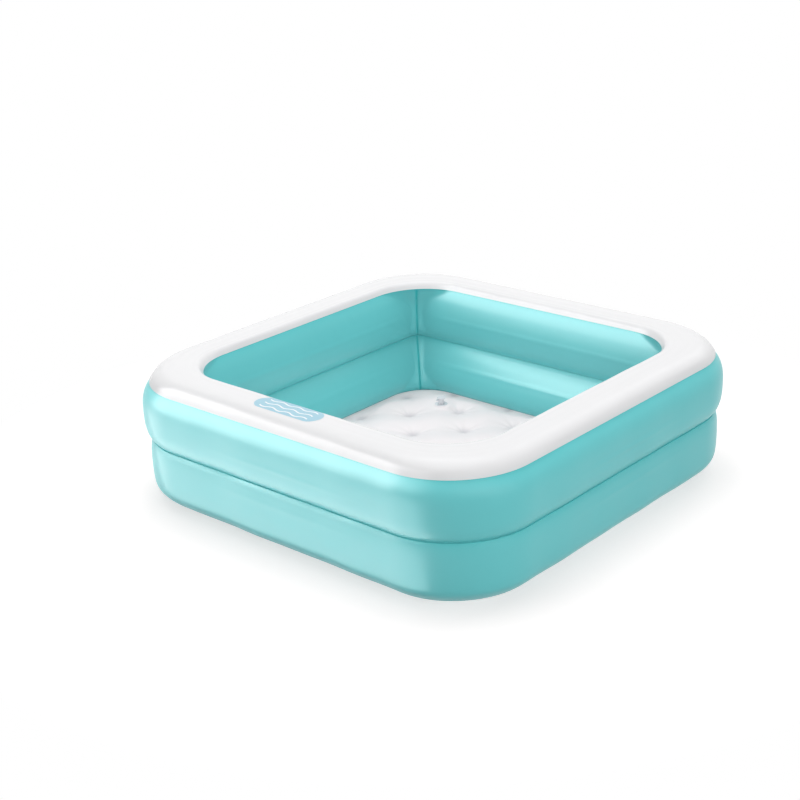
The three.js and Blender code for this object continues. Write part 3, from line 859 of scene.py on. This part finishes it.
def turned(name, profile, valve, body):
    """A profile of radii and heights turned once round the valve's axis, with softened edges."""
    profile = np.array(profile, float)
    angle = np.linspace(0, 2 * np.pi, valve_sides, endpoint=False)[:, None]
    x, y = profile[:, 0] * np.cos(angle), profile[:, 0] * np.sin(angle)
    points = seated(np.stack([x, y, np.broadcast_to(profile[:, 1], x.shape)], axis=-1), *valve)
    piece = new_piece(name, points.reshape(-1, 3), ring_quads(*points.shape[:2], True), body)
    close_poles(piece)
    return piece


def moulded(name, section, levels, valve, body, upright):
    """A flat moulding: an outline of points carried between two levels, along the valve's axis or
    across it."""
    flat = np.broadcast_to(np.array(section, float), (2, len(section), 2))
    level = np.broadcast_to(np.array(levels)[:, None, None], (2, len(section), 1))
    points = np.concatenate([flat, level] if upright else [level, flat], axis=-1)
    points = seated(points, *valve).reshape(-1, 3)
    return new_piece(name, points, ring_quads(2, len(section), False), body)


def arc(centre, radius, start, end, steps):
    """Points round a centre: it plus the radius times the cosine and the sine of each angle."""
    angles = np.linspace(start, end, steps)
    return [(centre[0] + radius * math.cos(t), centre[1] + radius * math.sin(t)) for t in angles]


def stem_profile(mouth):
    """A tube with a round lip at its foot, which holds it in the collar, and one at its mouth."""
    foot = mouth - stem_length
    return [
        (stem_bore_radius, foot),
        (lip_radius - valve_bevel, foot),
        (lip_radius, foot + valve_bevel),
        (lip_radius, foot + lip_thickness),
        (stem_radius, foot + lip_thickness),
        (stem_radius, mouth - lip_thickness),
        (lip_radius, mouth - lip_thickness),
        (lip_radius, mouth - valve_bevel),
        (lip_radius - valve_bevel, mouth),
        (stem_bore_radius, mouth),
    ]


def plug_profile(mouth):
    """A shank with a tapered point in the stem's bore, under a round cap with a dished top."""
    cap_foot = mouth + weld_gap
    cap_top = cap_foot + cap_thickness
    shank_radius = stem_bore_radius - weld_gap
    return [
        (0, mouth - shank_length),
        (shank_radius - shank_taper, mouth - shank_length),
        (shank_radius, mouth - shank_length + shank_point),
        (shank_radius, cap_foot),
        (cap_radius - valve_bevel, cap_foot),
        (cap_radius, cap_foot + valve_bevel),
        (cap_radius, cap_top - valve_bevel),
        (cap_radius - valve_bevel, cap_top),
        (cap_radius / 2, cap_top - cap_dish),
        (0, cap_top - cap_dish),
    ]


def strap_section(low, high):
    """A flat band bent into a U: out from the stem's lip, round, and back in to the plug's cap."""
    half = strap_thickness / 2
    centre = (strap_bend_at, (low + high) / 2)
    outer, inner = (
        arc(centre, strap_bend + side * half, 1.5 * np.pi, 0.5 * np.pi, valve_sides // 4)
        for side in (1, -1)
    )
    return [
        (-lip_radius - weld_gap, low - half),
        *outer,
        (-cap_radius - weld_gap, high + half),
        (-cap_radius - weld_gap, high - half),
        *inner[::-1],
        (-lip_radius - weld_gap, low + half),
    ]


collar_top = weld_gap + flange_thickness
collar_bore = stem_radius + stem_running_gap
skirt_radius = collar_bore + skirt_wall
collar_profile = [
    (collar_bore, -skirt_depth),
    (skirt_radius, -skirt_depth),
    (skirt_radius, weld_gap),
    (flange_radius, weld_gap),
    (flange_radius, collar_top - valve_bevel),
    (flange_radius - flange_thickness, collar_top),
    (collar_bore + flange_thickness, collar_top),
    (collar_bore, collar_top - valve_bevel),
]
tab_from = cap_radius - valve_bevel
tab_tip = cap_radius + tab_length - tab_width / 2
tab_section = [
    (tab_width / 2, tab_from),
    *arc((0, tab_tip), tab_width / 2, 0, np.pi, valve_sides // 4),
    (-tab_width / 2, tab_from),
]
strap_bend = (lip_thickness / 2 + weld_gap + cap_thickness / 2) / 2
strap_bend_at = strap_bend - cap_radius - weld_gap - strap_reach
flap_join = math.asin(flap_tongue_width / 2 / flap_radius)
flap_section = [
    *arc((0, 0), flap_radius, flap_join - np.pi / 2, 1.5 * np.pi - flap_join, valve_sides),
    (-flap_tongue_width / 2, -flap_radius - flap_tongue),
    (flap_tongue_width / 2, -flap_radius - flap_tongue),
]

vinyl, vinyl_shader = film_material(
    "valve vinyl", vinyl_tint, vinyl_tint,
    cloudiness=0.06, roughness=0.2, handling=0.08, grain=0.04, wave_height=0.0002,
)
vinyl_shader.inputs["Transmission Weight"].default_value = vinyl_transmission
vinyl_shader.inputs["IOR"].default_value = vinyl_ior

standing_mouth = stem_length - skirt_depth - weld_gap - lip_thickness
pressed_mouth = collar_top + lip_rest + lip_thickness
upper_valve_place = (upper_valve_x, pool_half, upper_valve_height)
lower_valve_place = (lower_valve_x, pool_half - lower_bulge_inset, lower_valve_height)
valves = {
    "floor": ((*floor_valve_place, pad_height), False, standing_mouth),
    "upper_ring": (upper_valve_place, True, pressed_mouth),
    "lower_ring": (lower_valve_place, True, pressed_mouth),
}
cut_hole(upper_outer, upper_valve_place, (0, 1, 0))
cut_hole(lower_outer, lower_valve_place, (0, 1, 0))
for valve_name, (place, faces_back, mouth) in valves.items():
    seat = (np.array(place), faces_back)
    bodies = valve_name.replace("_ring", "") + "_valve_"
    collar = turned(f"{valve_name}_valve_flange", collar_profile, seat, "pool")
    stem = turned(f"{valve_name}_valve_tube", stem_profile(mouth), seat, bodies + "stem_body")
    plug = turned(f"{valve_name}_valve_stopper", plug_profile(mouth), seat, bodies + "plug_body")
    tab_low = mouth + weld_gap + (cap_thickness - tab_thickness) / 2
    tab_levels = (tab_low, tab_low + tab_thickness)
    tab = moulded(f"{valve_name}_valve_tab", tab_section, tab_levels, seat, bodies + "plug_body", True)
    strap_low = mouth - lip_thickness / 2
    strap_high = strap_low + 2 * strap_bend
    strap_levels = (-strap_width / 2, strap_width / 2)
    strap_shape = strap_section(strap_low, strap_high)
    strap = moulded(f"{valve_name}_valve_tether", strap_shape, strap_levels, seat, None, False)
    flap_top = mouth - stem_length - weld_gap
    flap_levels = (flap_top - flap_thickness, flap_top)
    flap_name = f"{valve_name}_valve_check"
    flap = moulded(flap_name, flap_section, flap_levels, seat, bodies + "flap_body", True)
    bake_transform(strap)
    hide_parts(f"{valve_name}_valve_collar")
    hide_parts(f"{valve_name}_valve_stem")
    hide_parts(f"{valve_name}_valve_plug")
    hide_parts(f"{valve_name}_valve_strap")
    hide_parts(f"{valve_name}_valve_flap")
    for piece in (collar, stem, plug, tab, strap, flap):
        piece.data.materials.append(vinyl)

# Studio: a floor and a sky that the camera and the films see as plain white, though the floor keeps
# the pool's shadow. Five soft boxes light the pool. Two more and a low board show only in the gloss,
# as the milky shine of the walls that face the front and the left.
stage_half = 12
stage_drop = 0.0004
stage_white = (0.93, 0.89, 0.885, 1)
stage_bounce = (0.55, 0.55, 0.55, 1)
stage_lift = 0.33
shadow_reach = 0.62
shadow_fade = 0.35
sky_white = (1, 1, 1, 1)
sky_light = 0.32
lamp_aim = Vector((0, 0, 0.12))
# Each has a name, azimuth, elevation, distance, size, brightness, and whether it lights the films.
lamps = (
    ("left", -40, 35, 2.6, 1.6, 1.0, True),
    ("key", 60, 28, 2.6, 1.6, 1.35, True),
    ("top", -100, 80, 2.4, 2.2, 2.3, True),
    ("right", 85, 12, 2.6, 1.6, 1.1, True),
    ("back", 170, 40, 2.6, 1.6, 1.1, True),
    ("front_gloss", -10, 30, 2.4, 1.6, 4.2, False),
    ("left_gloss", -45, 20, 2.4, 1.8, 9.4, False),
)
board_place = (-0.45, -1.22, 0.002)
board_size = 1.56
board_brightness = 4.2

stage_corners = [(x * stage_half, y * stage_half, -stage_drop) for x, y in corner_signs]
stage_mesh = bpy.data.meshes.new("stage_floor")
stage_mesh.from_pydata(stage_corners, [], [(0, 1, 2, 3)])
stage = bpy.data.objects.new("stage_floor", stage_mesh)
bpy.context.scene.collection.objects.link(stage)


def seen(tree, rays):
    """1 for the camera and for what glossy and clear films show."""
    in_gloss = {0: rays["Is Camera Ray"], 1: rays["Is Glossy Ray"]}
    seen_in_gloss = node(tree, "ShaderNodeMath", in_gloss, operation="MAXIMUM")
    through_film = {0: seen_in_gloss.outputs[0], 1: rays["Is Transmission Ray"]}
    return node(tree, "ShaderNodeMath", through_film, operation="MAXIMUM").outputs[0]


stage_material = bpy.data.materials.new("stage white")
stage_material.use_nodes = True
tree = stage_material.node_tree
tree.nodes.clear()
rays = node(tree, "ShaderNodeLightPath").outputs
stage_seen = seen(tree, rays)
lift = node(tree, "ShaderNodeMath", {0: stage_seen, 1: stage_lift}, operation="MULTIPLY").outputs[0]
lifting = node(tree, "ShaderNodeEmission", {"Strength": lift}).outputs[0]
# The ground throws less light back on the walls than it shows.
tones = {"Factor": rays["Is Diffuse Ray"], "A": stage_white, "B": stage_bounce}
stage_colour = node(tree, "ShaderNodeMix", tones, data_type="RGBA").outputs["Result"]
lit = node(tree, "ShaderNodeBsdfDiffuse", {"Color": stage_colour}).outputs[0]
lifted = node(tree, "ShaderNodeAddShader", {0: lit, 1: lifting}).outputs[0]
# Beyond the shadow's reach the floor goes over to plain white.
stage_place = node(tree, "ShaderNodeTexCoord").outputs["Object"]
stage_far = node(tree, "ShaderNodeVectorMath", {0: stage_place}, operation="LENGTH").outputs["Value"]
fading = {"Value": stage_far, "From Min": shadow_reach, "From Max": shadow_reach + shadow_fade}
far_share = node(tree, "ShaderNodeMapRange", fading).outputs[0]
shares = {0: far_share, 1: stage_seen}
plain_share = node(tree, "ShaderNodeMath", shares, operation="MULTIPLY").outputs[0]
plain = node(tree, "ShaderNodeEmission", {"Strength": 1}).outputs[0]
surface = node(tree, "ShaderNodeMixShader", {0: plain_share, 1: lifted, 2: plain}).outputs[0]
node(tree, "ShaderNodeOutputMaterial", {"Surface": surface})
stage_mesh.materials.append(stage_material)

world = bpy.data.worlds.new("sky")
bpy.context.scene.world = world
world.use_nodes = True
tree = world.node_tree
tree.nodes.clear()
sky_seen = seen(tree, node(tree, "ShaderNodeLightPath").outputs)
sky_range = {"Value": sky_seen, "To Min": sky_light, "To Max": 1}
sky_strength = node(tree, "ShaderNodeMapRange", sky_range).outputs[0]
sky = node(tree, "ShaderNodeBackground", {"Color": sky_white, "Strength": sky_strength})
node(tree, "ShaderNodeOutputWorld", {"Surface": sky.outputs[0]})


def square_lamp(name, place, way, size, brightness, lights_films):
    """A square lamp that shines against its way. Its power is pi times its area times how bright
    its face looks. One that doesn't light the films is only seen in their gloss."""
    lamp_data = bpy.data.lights.new(f"{name}_lamp", "AREA")
    lamp_data.energy = math.pi * size ** 2 * brightness
    lamp_data.size = size
    lamp = bpy.data.objects.new(f"{name}_lamp", lamp_data)
    lamp.location = place
    lamp.rotation_mode = "QUATERNION"
    lamp.rotation_quaternion = way.to_track_quat("Z", "Y")
    lamp.visible_camera = False
    lamp.visible_diffuse = lights_films
    lamp.visible_transmission = lights_films
    bpy.context.scene.collection.objects.link(lamp)


for name, azimuth, elevation, distance, size, brightness, lights_films in lamps:
    a, e = math.radians(azimuth), math.radians(elevation)
    way = Vector((math.sin(a) * math.cos(e), -math.cos(a) * math.cos(e), math.sin(e)))
    square_lamp(name, lamp_aim + way * distance, way, size, brightness, lights_films)
square_lamp("ground", board_place, Vector((0, 0, -1)), board_size, board_brightness, False)

bpy.context.scene.view_settings.view_transform = "Standard"
